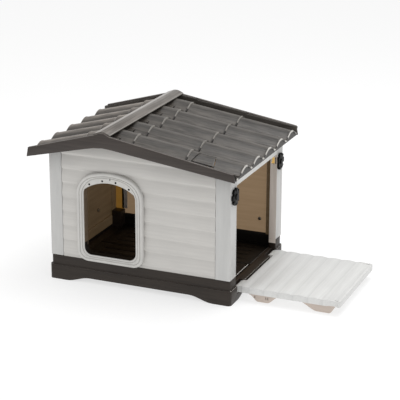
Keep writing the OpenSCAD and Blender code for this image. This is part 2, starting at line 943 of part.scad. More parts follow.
base_tray();
floor_panel_front();
floor_panel_rear();
front_wall();
rear_wall();
left_wall();
post_front_left();
post_rear_left();
post_front_right();
post_rear_right();
side_lintel();
door_surround();
door_liner();
wall_bolts();
roof_left();
roof_right();
ridge_cap();
front_fascia();
rear_fascia();
vent_grille();
vent_hatch();
vent_hinge_pin();
side_panel();
panel_hinge_pin_front();
panel_hinge_pin_rear();
panel_leg_front();
panel_leg_rear();
leg_hinge_pins_front();
leg_hinge_pins_rear();
latch_knob_front();
latch_knob_rear();
latch_spindle_front();
latch_spindle_rear();
latch_clip_front();
latch_clip_rear();
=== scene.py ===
"""Looks of a pet kennel with a pitched tile roof and a side wall that folds down as a veranda.

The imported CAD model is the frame. A visible part is either a detailed mesh made here, which stands for its
CAD nodes, or a copy of a CAD node with rounded edges. Shapes are in millimetres, as in the part's own
source, and become metres when a mesh is made.
"""

import math

import bmesh
import bpy
from mathutils import Matrix, Vector


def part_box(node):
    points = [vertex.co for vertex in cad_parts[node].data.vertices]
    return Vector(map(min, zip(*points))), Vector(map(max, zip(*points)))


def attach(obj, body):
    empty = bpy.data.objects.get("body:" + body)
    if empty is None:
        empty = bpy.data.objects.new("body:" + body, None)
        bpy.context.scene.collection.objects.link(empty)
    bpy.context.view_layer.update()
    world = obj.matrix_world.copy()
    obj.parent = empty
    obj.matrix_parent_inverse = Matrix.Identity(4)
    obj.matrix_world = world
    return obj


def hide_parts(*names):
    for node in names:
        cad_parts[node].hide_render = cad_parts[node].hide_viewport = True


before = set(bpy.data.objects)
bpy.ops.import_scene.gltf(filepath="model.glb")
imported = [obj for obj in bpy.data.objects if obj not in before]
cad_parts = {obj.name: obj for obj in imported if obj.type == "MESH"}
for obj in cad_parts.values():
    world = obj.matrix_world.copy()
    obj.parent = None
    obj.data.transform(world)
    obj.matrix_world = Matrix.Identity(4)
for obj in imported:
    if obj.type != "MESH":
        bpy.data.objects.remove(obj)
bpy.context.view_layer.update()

MM = 0.001


def node_box(node):
    """Lowest and highest corner of a CAD node, in millimetres."""
    low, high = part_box(node)
    return low / MM, high / MM


# ---------------------------------------------------------------- sizes, from the frame

WALL_LOW, WALL_HIGH = node_box("front_wall")
LEFT_LOW, LEFT_HIGH = node_box("left_wall")
PANEL_LOW, PANEL_HIGH = node_box("side_panel")
ROOF_LEFT, ROOF_RIGHT = node_box("roof_left"), node_box("roof_right")
CAP_LOW, CAP_HIGH = node_box("ridge_cap")

BAND_TOP = WALL_LOW.z
WALL_FACE = WALL_LOW.y                     # outer face of the front wall
WALL_T = 14
RIDGE_X = ROOF_RIGHT[0].x - 1.5            # the right slope starts this far from the ridge line
EAVE_LEFT, EAVE_RIGHT = ROOF_LEFT[0].x, ROOF_RIGHT[1].x
EAVE_Z = ROOF_RIGHT[0].z
TILE_Y = ROOF_RIGHT[1].y

# ---------------------------------------------------------------- mesh helpers


def add_object(name, mesh):
    obj = bpy.data.objects.new(name, mesh)
    bpy.context.scene.collection.objects.link(obj)
    return obj


def mesh_object(name, points, faces):
    """New object from points in millimetres, its faces turned outwards."""
    mesh = bpy.data.meshes.new(name)
    mesh.from_pydata([Vector(p) * MM for p in points], [], faces)
    bm = bmesh.new()
    bm.from_mesh(mesh)
    bmesh.ops.recalc_face_normals(bm, faces=bm.faces)
    bm.to_mesh(mesh)
    bm.free()
    return add_object(name, mesh)


def apply_modifiers(obj):
    depsgraph = bpy.context.evaluated_depsgraph_get()
    mesh = bpy.data.meshes.new_from_object(obj.evaluated_get(depsgraph))
    obj.modifiers.clear()
    obj.data = mesh


def round_edges(obj, width, segments=2, angle=30, edge_slot=-1):
    bevel = obj.modifiers.new("round", "BEVEL")
    bevel.material = edge_slot
    bevel.width = width * MM
    bevel.segments = segments
    bevel.limit_method = "ANGLE"
    bevel.angle_limit = math.radians(angle)
    bevel.miter_outer = "MITER_ARC"
    apply_modifiers(obj)


def combine(obj, tool, operation="DIFFERENCE"):
    """Cuts tool from obj, or joins it on, and removes tool."""
    boolean = obj.modifiers.new("combine", "BOOLEAN")
    boolean.object = tool
    boolean.operation = operation
    boolean.solver = "EXACT"
    apply_modifiers(obj)
    bpy.data.objects.remove(tool)


def join_faces(obj, angle=1.0):
    """Joins the triangles of each flat face."""
    bm = bmesh.new()
    bm.from_mesh(obj.data)
    bmesh.ops.remove_doubles(bm, verts=bm.verts, dist=0.002 * MM)
    bmesh.ops.dissolve_limit(bm, angle_limit=math.radians(angle), verts=bm.verts, edges=bm.edges)
    bm.to_mesh(obj.data)
    bm.free()


def place(obj, body, material, nodes=(), sharp=35):
    """Gives obj its material, shading and body, and hides the CAD nodes that it stands for."""
    mesh = obj.data
    if material:
        mesh.materials.clear()
        mesh.materials.append(material)
    mesh.polygons.foreach_set("use_smooth", [True] * len(mesh.polygons))
    mesh.set_sharp_from_angle(angle=math.radians(sharp))
    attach(obj, body)
    if nodes:
        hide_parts(*nodes)
    return obj


def paint(obj, material, test):
    """Gives the faces whose centre (in millimetres) passes the test a second material."""
    obj.data.materials.append(material)
    index = len(obj.data.materials) - 1
    for face in obj.data.polygons:
        if test(face.center / MM, face.normal):
            face.material_index = index


def keep_paint(obj, slot, test):
    """Takes the material in slot back to the first one on the faces that fail the test."""
    for face in obj.data.polygons:
        if face.material_index == slot and not test(face.center / MM, face.normal):
            face.material_index = 0


def block(a, b, name="tool"):
    """Box between two corners, as a tool for combine()."""
    points = [(x, y, z) for x in (a[0], b[0]) for y in (a[1], b[1]) for z in (a[2], b[2])]
    faces = [(0, 1, 3, 2), (4, 6, 7, 5), (0, 4, 5, 1), (2, 3, 7, 6), (0, 2, 6, 4), (1, 5, 7, 3)]
    return mesh_object(name, points, faces)


def prism(outline, to_point, low, high, name="tool"):
    """Solid between low and high over an outline of (u, v); to_point(u, v, w) places its corners."""
    n = len(outline)
    points = [to_point(u, v, low) for u, v in outline] + [to_point(u, v, high) for u, v in outline]
    faces = [tuple(range(n)), tuple(range(2 * n - 1, n - 1, -1))]
    faces += [(i, (i + 1) % n, (i + 1) % n + n, i + n) for i in range(n)]
    return mesh_object(name, points, faces)


def on_xz(u, v, w):
    return (u, w, v)


def on_xy(u, v, w):
    return (u, v, w)


def circle(u, v, radius, count=32):
    turns = [2 * math.pi * i / count for i in range(count)]
    return [(u + radius * math.cos(t), v + radius * math.sin(t)) for t in turns]


def slab(name, rows, place_point=on_xy):
    """Closed solid over rows of (u, v, high, low): one face at high, one at low, and the sides between."""
    n, m = len(rows), len(rows[0])
    points = [place_point(u, v, high) for row in rows for u, v, high, low in row]
    points += [place_point(u, v, low) for row in rows for u, v, high, low in row]
    back = n * m
    faces = []
    for i in range(n - 1):
        for j in range(m - 1):
            a = i * m + j
            faces.append((a, a + 1, a + m + 1, a + m))
            faces.append((back + a, back + a + m, back + a + m + 1, back + a + 1))
    rim = list(range(m)) + [i * m + m - 1 for i in range(1, n)]
    rim += [(n - 1) * m + j for j in range(m - 2, -1, -1)] + [i * m for i in range(n - 2, 0, -1)]
    faces += [(a, back + a, back + b, b) for a, b in zip(rim, rim[1:] + rim[:1])]
    return mesh_object(name, points, faces)


def loft(name, rings):
    """Skin through closed rings of points; the last ring joins the first."""
    n, m = len(rings), len(rings[0])
    points = [p for ring in rings for p in ring]
    faces = []
    for i in range(n):
        for j in range(m):
            k, l = (i + 1) % n, (j + 1) % m
            faces.append((i * m + j, i * m + l, k * m + l, k * m + j))
    return mesh_object(name, points, faces)


def spread(a, b, step):
    """Evenly spaced numbers from a to b, about step apart."""
    n = max(1, round(abs(b - a) / step))
    return [a + (b - a) * i / n for i in range(n + 1)]


def ease(t):
    t = min(1.0, max(0.0, t))
    return t * t * (3 - 2 * t)


# ---------------------------------------------------------------- materials


def painted_light_bands(nodes, links, place_at, colour, axis, start, pitch, stops):
    """Colour times a painted shade that repeats every pitch along an object axis: painted shade in the
    grooves.

    stops are (place within the pitch from 0 to 1, shade); a shade above 1 is a painted highlight."""
    parts = nodes.new("ShaderNodeSeparateXYZ")
    links.new(place_at.outputs["Object"], parts.inputs["Vector"])
    turns = nodes.new("ShaderNodeMath")
    turns.operation = "MULTIPLY_ADD"
    turns.inputs[1].default_value = 1 / (pitch * MM)
    turns.inputs[2].default_value = 100 - start / pitch
    links.new(parts.outputs[axis], turns.inputs[0])
    turn = nodes.new("ShaderNodeMath")
    turn.operation = "FRACT"
    links.new(turns.outputs["Value"], turn.inputs[0])
    shade = nodes.new("ShaderNodeValToRGB")
    shade.color_ramp.interpolation = "EASE"
    while len(shade.color_ramp.elements) < len(stops):
        shade.color_ramp.elements.new(0.5)
    for element, (at, value) in zip(shade.color_ramp.elements, stops):
        element.position = at
        element.color = (value, value, value, 1)
    links.new(turn.outputs["Value"], shade.inputs["Fac"])
    product = nodes.new("ShaderNodeMix")
    product.data_type = "RGBA"
    product.blend_type = "MULTIPLY"
    product.inputs["Factor"].default_value = 1.0
    links.new(colour, product.inputs[6])
    links.new(shade.outputs["Color"], product.inputs[7])
    return product.outputs[2]


def plastic(name, dark, light, roughness, grain, streak=0.5, texture=0.08, mottle=7.0, spread_at=(0.36, 0.64),
            bands=None, specular=0.5, painted_glow=None):
    """Moulded plastic: colours between dark and light in streaks, a fine leathery bump and uneven gloss.

    grain is the streaks' frequency along X, Y and Z, streak and texture are bump strengths. The glowing colour
    is painted light: an emission that lightens the surface as if more light fell on it."""
    material = bpy.data.materials.new(name)
    material.use_nodes = True
    nodes, links = material.node_tree.nodes, material.node_tree.links
    shader = nodes["Principled BSDF"]
    shader.inputs["IOR"].default_value = 1.46
    shader.inputs["Specular IOR Level"].default_value = specular
    # Painted light: the surface glows
    if painted_glow:
        shader.inputs["Emission Color"].default_value = (*painted_glow, 1)
        shader.inputs["Emission Strength"].default_value = 1.0

    place_at = nodes.new("ShaderNodeTexCoord")
    stretch = nodes.new("ShaderNodeMapping")
    stretch.inputs["Scale"].default_value = grain
    links.new(place_at.outputs["Object"], stretch.inputs["Vector"])
    streaks = nodes.new("ShaderNodeTexNoise")
    streaks.inputs["Scale"].default_value = 1.0
    streaks.inputs["Detail"].default_value = 5.0
    links.new(stretch.outputs["Vector"], streaks.inputs["Vector"])

    cloud = nodes.new("ShaderNodeTexNoise")
    cloud.inputs["Scale"].default_value = mottle
    cloud.inputs["Detail"].default_value = 2.0
    links.new(place_at.outputs["Object"], cloud.inputs["Vector"])
    both = nodes.new("ShaderNodeMath")
    both.operation = "MULTIPLY_ADD"
    both.inputs[1].default_value = 0.65
    links.new(streaks.outputs["Fac"], both.inputs[0])
    share = nodes.new("ShaderNodeMath")
    share.operation = "MULTIPLY"
    share.inputs[1].default_value = 0.35
    links.new(cloud.outputs["Fac"], share.inputs[0])
    links.new(share.outputs["Value"], both.inputs[2])
    tint = nodes.new("ShaderNodeValToRGB")
    tint.color_ramp.elements[0].position = spread_at[0]
    tint.color_ramp.elements[0].color = (*dark, 1)
    tint.color_ramp.elements[1].position = spread_at[1]
    tint.color_ramp.elements[1].color = (*light, 1)
    links.new(both.outputs["Value"], tint.inputs["Fac"])
    links.new(tint.outputs["Color"], shader.inputs["Base Color"])
    # Painted shade and painted highlight in bands
    if bands:
        links.new(painted_light_bands(nodes, links, place_at, tint.outputs["Color"], *bands), shader.inputs["Base Color"])

    gloss = nodes.new("ShaderNodeMapRange")
    gloss.inputs["To Min"].default_value = roughness - 0.07
    gloss.inputs["To Max"].default_value = roughness + 0.07
    links.new(both.outputs["Value"], gloss.inputs["Value"])
    links.new(gloss.outputs["Result"], shader.inputs["Roughness"])

    skin = nodes.new("ShaderNodeTexNoise")
    skin.inputs["Scale"].default_value = 700.0
    skin.inputs["Detail"].default_value = 3.0
    links.new(place_at.outputs["Object"], skin.inputs["Vector"])
    fine = nodes.new("ShaderNodeBump")
    fine.inputs["Strength"].default_value = texture
    fine.inputs["Distance"].default_value = 0.3 * MM
    links.new(skin.outputs["Fac"], fine.inputs["Height"])
    coarse = nodes.new("ShaderNodeBump")
    coarse.inputs["Strength"].default_value = streak
    coarse.inputs["Distance"].default_value = 1.0 * MM
    links.new(streaks.outputs["Fac"], coarse.inputs["Height"])
    links.new(fine.outputs["Normal"], coarse.inputs["Normal"])
    links.new(coarse.outputs["Normal"], shader.inputs["Normal"])
    return material


def metal(name, colour, roughness):
    """Plated steel with fine turned lines and uneven gloss."""
    material = plastic(name, colour, [c * 1.15 for c in colour], roughness, (900, 60, 900), streak=0.2)
    material.node_tree.nodes["Principled BSDF"].inputs["Metallic"].default_value = 1.0
    return material


ALONG_X = (9, 190, 90)
ALONG_Y = (190, 7, 120)
ALONG_XZ = (7, 60, 150)
ALONG_YZ = (60, 7, 150)

PLANK_H = 59.6
FIRST_VALLEY = BAND_TOP + 11.5
ROLL_PITCH, FIRST_ROLL = 130, -241

# Bands of painted shade and painted highlight: axis, start, pitch, and (place within the pitch, shade)
# The walls: painted shade just above and below each groove
PLANK_BANDS = ("Z", FIRST_VALLEY, PLANK_H, [
    (0.0, 0.96), (0.06, 1.0), (0.55, 1.0), (0.95, 0.93), (1.0, 0.94)])
# The right slope: painted shade and painted highlight across each roll
ROLL_BANDS = ("Y", FIRST_ROLL, ROLL_PITCH, [
    (0.0, 0.80), (0.08, 0.74), (0.20, 0.56), (0.36, 0.45), (0.47, 0.52), (0.53, 0.90),
    (0.60, 0.70), (0.68, 0.70), (0.76, 0.50), (0.82, 0.40), (0.90, 0.48), (1.0, 0.80)])
# The left slope: painted highlight on the crowns, painted shade in the pans
LEFT_ROLL_BANDS = ("Y", FIRST_ROLL, ROLL_PITCH, [
    (0.0, 1.9), (0.15, 1.3), (0.42, 0.45), (0.60, 0.38), (0.72, 0.55), (0.86, 1.25), (0.94, 1.9), (1.0, 1.9)])
# The veranda panel: painted shade beside each groove
PANEL_BANDS = ("X", PANEL_LOW.x + 6, PLANK_H, [(0.0, 0.90), (0.10, 1.0), (0.7, 1.0), (1.0, 0.93)])

MATERIALS = {
    "roof": plastic("roof_taupe", (0.052, 0.045, 0.038), (0.135, 0.120, 0.104), 0.38, ALONG_X, 0.8,
                    spread_at=(0.40, 0.60), bands=ROLL_BANDS),
    # The left slope: a lighter copy of the roof, with painted highlight on the crowns
    "roof_left": plastic("roof_left_painted_highlight", (0.062, 0.053, 0.045), (0.135, 0.118, 0.102), 0.40, ALONG_X, 0.6,
                         spread_at=(0.40, 0.60), bands=LEFT_ROLL_BANDS),
    # Painted highlight: the ridge cap's left facet, lighter than the rest of the cap
    "cap_left": plastic("ridge_left_painted_highlight", (0.26, 0.242, 0.224), (0.36, 0.338, 0.314), 0.36, ALONG_Y, 0.5,
                        spread_at=(0.40, 0.60)),
    "cap": plastic("ridge_taupe", (0.085, 0.074, 0.064), (0.170, 0.152, 0.134), 0.36, ALONG_Y, 0.7,
                   spread_at=(0.40, 0.60)),
    "verge": plastic("verge_taupe", (0.045, 0.039, 0.033), (0.090, 0.080, 0.070), 0.4, ALONG_X, 0.5),
    # Painted highlight on the tiles' lip edges and the ridge cap's right-hand edge
    "edge_highlight": plastic("tile_lip_painted_highlight", (0.19, 0.178, 0.160), (0.28, 0.262, 0.238), 0.35, ALONG_Y, 0.2),
    # Painted highlight with a painted glow, on the base's edges and the front drain floor's ends
    "glint": plastic("edge_painted_glint", (0.74, 0.71, 0.66), (0.84, 0.81, 0.76), 0.30, ALONG_Y, 0.1,
                     painted_glow=(0.26, 0.25, 0.235)),
    # Painted light: the doorway posts' reveals, lighter and glowing a little
    "reveal": plastic("reveal_painted_light", (0.52, 0.475, 0.435), (0.58, 0.53, 0.49), 0.5, (60, 60, 8), 0.05,
                      painted_glow=(0.10, 0.085, 0.072)),
    "lintel": plastic("lintel_white", (0.68, 0.68, 0.66), (0.74, 0.74, 0.72), 0.45, ALONG_Y, 0.05),
    # Painted light: a golden glow inside the slot in the rear right post
    "gold": plastic("slot_painted_glow", (0.62, 0.46, 0.20), (0.70, 0.54, 0.26), 0.5, (60, 60, 8), 0.05,
                    painted_glow=(0.34, 0.21, 0.055)),
    # Painted highlight on the tiles' rim at the eave
    "rim": plastic("tile_rim_painted_highlight", (0.44, 0.42, 0.39), (0.58, 0.56, 0.52), 0.35, ALONG_Y, 0.2),
    # Painted shade: near-black for creases, notches, holes, slots, the vent's opening, the lid's underside and
    # the grille
    "dark": plastic("tile_shadow", (0.012, 0.010, 0.009), (0.024, 0.021, 0.018), 0.55, ALONG_Y, 0.2),
    "plate": plastic("eave_plate", (0.034, 0.030, 0.026), (0.050, 0.045, 0.040), 0.5, ALONG_Y, 0.2),
    "brown": plastic("base_brown", (0.017, 0.0112, 0.0075), (0.029, 0.0205, 0.0142), 0.42, ALONG_XZ, 0.12,
                     specular=0.4),
    "board": plastic("fascia_brown", (0.032, 0.024, 0.020), (0.050, 0.039, 0.033), 0.42, ALONG_XZ, 0.15),
    # Painted highlight on the base's front ledge, the fascias' top edges and the rear drain floor's ends
    "brown_edge": plastic("base_edge_painted_highlight", (0.11, 0.095, 0.085), (0.17, 0.15, 0.135), 0.35, ALONG_XZ, 0.1),
    # Near-black: the drain floors' own colour, also used as painted shade on the tray's inner corners, the
    # doorway's lower sleeve and the joint by the rear left post
    "floor": plastic("floor_brown", (0.004, 0.003, 0.002), (0.010, 0.007, 0.005), 0.5, ALONG_X, 0.15,
                     specular=0.3),
    "wall": plastic("wall_warm_grey", (0.560, 0.545, 0.520), (0.612, 0.595, 0.566), 0.5, ALONG_XZ, 0.06,
                    bands=PLANK_BANDS),
    "left": plastic("left_wall_warm_grey", (0.560, 0.545, 0.520), (0.612, 0.595, 0.566), 0.5, ALONG_YZ, 0.06,
                    bands=PLANK_BANDS),
    "post": plastic("post_warm_grey", (0.530, 0.528, 0.516), (0.580, 0.577, 0.562), 0.45, (60, 60, 8), 0.05),
    "door": plastic("surround_white", (0.555, 0.545, 0.522), (0.612, 0.602, 0.575), 0.40, (40, 40, 40), 0.04),
    "panel": plastic("veranda_white", (0.69, 0.69, 0.675), (0.75, 0.75, 0.735), 0.45, ALONG_Y, 0.06,
                     bands=PANEL_BANDS),
    "leg": plastic("leg_beige", (0.56, 0.48, 0.42), (0.63, 0.54, 0.475), 0.5, ALONG_X, 0.06),
    # Tan inside, lighter and glowing: painted light
    "lining": plastic("lit_tan_inside_painted_glow", (0.25, 0.17, 0.10), (0.32, 0.225, 0.14), 0.6, (5, 5, 110), 0.06, mottle=5,
                      painted_glow=(0.150, 0.102, 0.060)),
    # Darker copy of the tan inside: painted shade, with a faint painted glow
    "lining_dim": plastic("dim_tan_inside_painted_shade", (0.21, 0.145, 0.09), (0.29, 0.205, 0.13), 0.6, (5, 5, 60), 0.06,
                          mottle=9, painted_glow=(0.022, 0.015, 0.007)),
    # Painted shade with a faint glow: the doorway's sleeve
    "sleeve": plastic("sleeve_painted_shade", (0.085, 0.060, 0.037), (0.120, 0.087, 0.055), 0.6, (5, 5, 60), 0.06,
                      painted_glow=(0.014, 0.009, 0.005)),
    # Painted light: an amber glow on the rear left post's face next to the rear wall
    "amber": plastic("gap_painted_glow", (0.25, 0.15, 0.05), (0.32, 0.20, 0.07), 0.6, (5, 5, 60), 0.06,
                     painted_glow=(0.115, 0.056, 0.008)),
    "black": plastic("latch_black", (0.003, 0.003, 0.003), (0.007, 0.007, 0.006), 0.5, (60, 60, 60), 0.1,
                     specular=0.14),
    "steel": metal("hinge_steel", (0.30, 0.28, 0.25), 0.35),
}

# ---------------------------------------------------------------- walls

PLANK_LOW, PLANK_WAVE = 2.0, 4.6             # depth of the grooves at the base and high up
PLANK_RISE = 400                            # the grooves deepen over this height
PLANK_TOE = 0.16                            # share of a plank taken by its steep lower end
SEAM = 1.6                                  # open seam between a wall and its corner posts
UNDER_ROOF = 39.5
CROWN_RIDGE, CROWN_LEFT, CROWN_RIGHT = 651.0, 556.0, 561.0
SLOPE_RIGHT = (CROWN_RIDGE - CROWN_RIGHT) / (EAVE_RIGHT - RIDGE_X)
SLOPE_LEFT = (CROWN_RIDGE - CROWN_LEFT) / (RIDGE_X - EAVE_LEFT)


def crown(x):
    """Height of the tiles' crown line over x."""
    return CROWN_RIDGE - (SLOPE_RIGHT * (x - RIDGE_X) if x > RIDGE_X else SLOPE_LEFT * (RIDGE_X - x))


def plank_depth(z):
    """Depth of the planks' wave below the wall's outer face."""
    turn = (z - FIRST_VALLEY) / PLANK_H % 1.0
    groove = PLANK_LOW + (PLANK_WAVE - PLANK_LOW) * (z - BAND_TOP) / PLANK_RISE
    return groove * (1 - ease(turn / PLANK_TOE) + ease((turn - PLANK_TOE) / (1 - PLANK_TOE)) ** 1.4)


def wall(name, u0, u1, top, to_point):
    """Planked wall from u0 to u1; to_point(u, z, depth) places it, depth counted inwards."""
    rows = []
    for z in spread(BAND_TOP, top, PLANK_H / 24):
        rows.append([(u, z, plank_depth(z), WALL_T) for u in (u0, u1)])
    return slab(name, rows, to_point)


def under_roof():
    """The space below the roof's underside, as a tool."""
    section = [(EAVE_LEFT, 0), (EAVE_LEFT, crown(EAVE_LEFT) - UNDER_ROOF), (RIDGE_X, CROWN_RIDGE - UNDER_ROOF),
               (EAVE_RIGHT, crown(EAVE_RIGHT) - UNDER_ROOF), (EAVE_RIGHT, 0)]
    return prism(section, on_xz, -2 * TILE_Y, 2 * TILE_Y)


RIB_X, RIB_Z = (-340.5, -332, -317), (127, 540)   # joint and rib beside the rear left post, inside

DOOR_HALF, DOOR_SILL, DOOR_TOP = 112, 129, 437
SILL_R, CROWN_R = 30, 181
DOOR_CENTRE = 285
RING_COUNT = 208


def in_corners(x, z, half, low, radius):
    """Whether (x, z) is inside a strip of half width half, above low, with rounded lower corners."""
    if abs(x) > half or z < low:
        return False
    dx, dz = abs(x) - (half - radius), low + radius - z
    return dx < 0 or dz < 0 or math.hypot(dx, dz) < radius


def in_door(x, z, g):
    if not in_corners(x, z, DOOR_HALF + g, DOOR_SILL - g, SILL_R + g):
        return False
    return z < DOOR_TOP - CROWN_R or math.hypot(x, z - DOOR_TOP + CROWN_R) < CROWN_R + g


def in_arch(x, z, g, half, low, low_r, shoulder_z, shoulder_r, top, top_r):
    """Whether (x, z) is inside an arch with round shoulders and a shallow top, grown by g."""
    if z <= shoulder_z:
        return in_corners(x, z, half + g, low - g, low_r + g)
    inner = half - shoulder_r
    if math.hypot(max(0, abs(x) - inner), z - shoulder_z) < shoulder_r + g:
        return True
    return abs(x) < inner + shoulder_r / 4 and math.hypot(x, z - top + top_r) < top_r + g


# Half width, bottom, bottom radius, shoulder height and radius, top, top radius
EDGE_ARCH = (144.5, 100, 46, 377.6, 92, 478, 260)
STEP_ARCH = (114, 127, 31, 371, 76, 452, 220)


def in_edge(x, z, g):
    return in_arch(x, z, g, *EDGE_ARCH)


def in_step(x, z, g):
    return in_arch(x, z, g, *STEP_ARCH)


def outline(inside, g, count=RING_COUNT):
    """Outline of a star-shaped region about the middle of the doorway, as (x, z) in millimetres."""
    points = []
    for i in range(count):
        turn = 2 * math.pi * (i + 0.5) / count
        dx, dz = math.cos(turn), math.sin(turn)
        near, away = 0.0, 400.0
        for _ in range(30):
            middle = (near + away) / 2
            if inside(dx * middle, DOOR_CENTRE + dz * middle, g):
                near = middle
            else:
                away = middle
        points.append((RIDGE_X + dx * near, DOOR_CENTRE + dz * near))
    return points


def front_wall():
    obj = wall("front_wall_planks", WALL_LOW.x + SEAM, WALL_HIGH.x - SEAM, WALL_HIGH.z + 4,
               lambda u, z, depth: (u, WALL_FACE + depth, z))
    combine(obj, under_roof(), "INTERSECT")
    combine(obj, prism(outline(in_door, 4.5), on_xz, WALL_FACE - 30, WALL_FACE + 30))
    place(obj, "house", MATERIALS["wall"], ["front_wall"])
    # Painted shade: the inside gets the darker copy of the tan
    paint(obj, MATERIALS["lining_dim"], lambda c, n: n.y > 0.9 and c.y > WALL_FACE + WALL_T - 1)


def rear_wall():
    obj = wall("rear_wall_planks", WALL_LOW.x + SEAM, WALL_HIGH.x - SEAM, WALL_HIGH.z + 4,
               lambda u, z, depth: (u, -WALL_FACE - depth, z))
    combine(obj, under_roof(), "INTERSECT")
    inner = -WALL_FACE - WALL_T
    combine(obj, block((RIB_X[0], inner - 4.6, RIB_Z[0]), (RIB_X[1], inner + 4, RIB_Z[1])), "UNION")
    combine(obj, block((RIB_X[1], inner - 2.5, RIB_Z[0]), (RIB_X[2], inner + 4, RIB_Z[1])), "UNION")
    place(obj, "house", MATERIALS["wall"], ["rear_wall"])
    # Painted light: the inside gets the lighter, glowing tan
    paint(obj, MATERIALS["lining"], lambda c, n: n.y < -0.9 and abs(c.y - inner) < 1)
    # Painted shade: the joint block beside the post is near-black
    paint(obj, MATERIALS["floor"], lambda c, n: n.y < -0.9 and c.y < inner - 4)


def left_wall():
    obj = wall("left_wall_planks", LEFT_LOW.y + SEAM, LEFT_HIGH.y - SEAM, LEFT_HIGH.z + 4,
               lambda u, z, depth: (LEFT_LOW.x + depth, u, z))
    combine(obj, under_roof(), "INTERSECT")
    place(obj, "house", MATERIALS["left"], ["left_wall"])
    # Painted shade: the inside gets the darker copy of the tan
    paint(obj, MATERIALS["lining_dim"], lambda c, n: n.x > 0.9 or abs(n.y) > 0.9 and c.x > LEFT_LOW.x + 5)


# The surround's section: outline, growth and how far the ring stands proud of the wall
SURROUND_SECTION = [
    (in_edge, 0, 0), (in_edge, 0, 9), (in_edge, -0.9, 12.2), (in_edge, -3.2, 14.4), (in_edge, -6.5, 15),
    (in_edge, -10.5, 15), (in_edge, -12, 14.2), (in_edge, -12.6, 11.4), (in_edge, -14.2, 11.4),
    (in_edge, -15, 14.2), (in_step, 8.6, 14.4), (in_step, 7.8, 13.8), (in_step, 7.2, 10.4),
    (in_step, 5.6, 10.4), (in_step, 5.0, 12.6), (in_step, 1.2, 13.4), (in_step, 0.2, 13.2), (in_step, 0, 12.4),
    (in_door, 0.7, 12.4), (in_door, 0, 11.4), (in_door, 0, -WALL_T), (in_door, 4, -WALL_T), (in_door, 4, 0),
]
HOLES = (-86, -29, 29, 86)
HOLE_R = 4.2
SLIT_X, SLIT_Z = (3.4, 6.4), (449, 459)     # the slot between the holes, x from the ridge line
SILL_DARK = 175                             # the sleeve is in the dark below this height


def hole_z(dx):
    return DOOR_TOP + 9.5 - dx * dx / 330


def in_hole(c):
    """Whether a face is the wall of a hole or of the slot over the doorway."""
    dx = c.x - RIDGE_X
    if SLIT_X[0] - 0.4 < dx < SLIT_X[1] + 0.6 and SLIT_Z[0] - 0.5 < c.z < SLIT_Z[1] + 0.5:
        return True
    return any(math.hypot(dx - at, c.z - hole_z(at)) < HOLE_R + 0.1 for at in HOLES)


def door_surround():
    rings = [[(x, WALL_FACE - proud, z) for x, z in outline(inside, g)]
             for inside, g, proud in SURROUND_SECTION]
    obj = loft("door_surround_ring", rings)
    for dx in HOLES:
        hole = circle(RIDGE_X + dx, hole_z(dx), HOLE_R, 20)
        combine(obj, prism(hole, on_xz, WALL_FACE - 30, WALL_FACE + 30))
    combine(obj, block((RIDGE_X + SLIT_X[0], WALL_FACE - 30, SLIT_Z[0]),
                       (RIDGE_X + SLIT_X[1], WALL_FACE - 2, SLIT_Z[1])))
    place(obj, "house", MATERIALS["door"], ["door_surround"], sharp=50)
    # Painted shade: the sleeve through the wall is dark brown, and near-black below SILL_DARK
    paint(obj, MATERIALS["sleeve"], lambda c, n: c.y > WALL_FACE - 2 and c.z > SILL_DARK)
    paint(obj, MATERIALS["floor"], lambda c, n: c.y > WALL_FACE - 2 and c.z <= SILL_DARK)
    # Painted shade in the holes and in the slot over the doorway
    paint(obj, MATERIALS["dark"], lambda c, n: in_hole(c) and (abs(n.y) < 0.5 or c.y > WALL_FACE - 6))


# ---------------------------------------------------------------- roof

ROLL_H, VALLEY = 27, 22                      # the pans between rolls are rounded below this depth
SKIN, STEP, VERGE_W = 6, 4.5, 6
COURSE_RIGHT, COURSE_LEFT = 222, 220
LIP = 1.6                                   # bead along each course's lower end
LIP_W = 10
LIP_EDGE = 2.4                              # the bead's edge, which gets a painted highlight
LIP_SHADE = 6.0                             # the crease behind it, which gets painted shade, starts here
FLANGE_H = 15                               # flat strip beside the ridge cap, below the crowns
FLANGE_END = 48
VERGE_ZONE = 14                             # strip along each verge that stays plain
VERGE_PAN = -318                            # the flat pan beside the front verge ends here
VERGE_DROP = 5                              # the front verge's lip lies this far under the crowns
RIM_SKIN = 4                                # thickness of the skin at the eave
EAVE_PLATE = (4, 9)                         # the closing plate starts and ends this far behind the eave


def wave(y):
    """Height of the tiles over the crown line: 0 on a crown, -ROLL_H in a pan."""
    if y < FIRST_ROLL - ROLL_PITCH / 2:
        return -ROLL_H
    turn = 2 * math.pi * (y - FIRST_ROLL) / ROLL_PITCH
    depth = ROLL_H * (1 - (0.5 + 0.5 * math.cos(turn)) ** 0.6)
    return -min(depth, VALLEY + 0.25 * (depth - VALLEY))


def verge(y):
    """The wave with its raised lips at both verges: one at the front, a double one at the rear."""
    front, rear = y + TILE_Y, TILE_Y - y
    if front < VERGE_W:
        return -VERGE_DROP
    if rear < 3 or 9 < rear < 13:
        return 1.5
    if rear <= 9:
        return -5.0
    return wave(y)


def flank(y):
    """Place of y on its roll: 0 on the crown, 0.5 in the pan, towards 1 on the side that faces the front."""
    return (y - FIRST_ROLL) / ROLL_PITCH % 1.0


def tile_places():
    """Y of the tile section's points."""
    lip = VERGE_W
    places = [-TILE_Y, -TILE_Y + lip - 0.1, -TILE_Y + lip + 0.4]
    places += spread(-TILE_Y + lip + 8, FIRST_ROLL - ROLL_PITCH / 2 - 1, 12)
    places += [y for y in spread(FIRST_ROLL - ROLL_PITCH / 2, FIRST_ROLL + 4.5 * ROLL_PITCH, ROLL_PITCH / 32)
               if y < TILE_Y - 14.5]
    places += [TILE_Y - w for w in (13.2, 12.9, 9.1, 8.7, 3.3, 2.9, 0)]
    return places


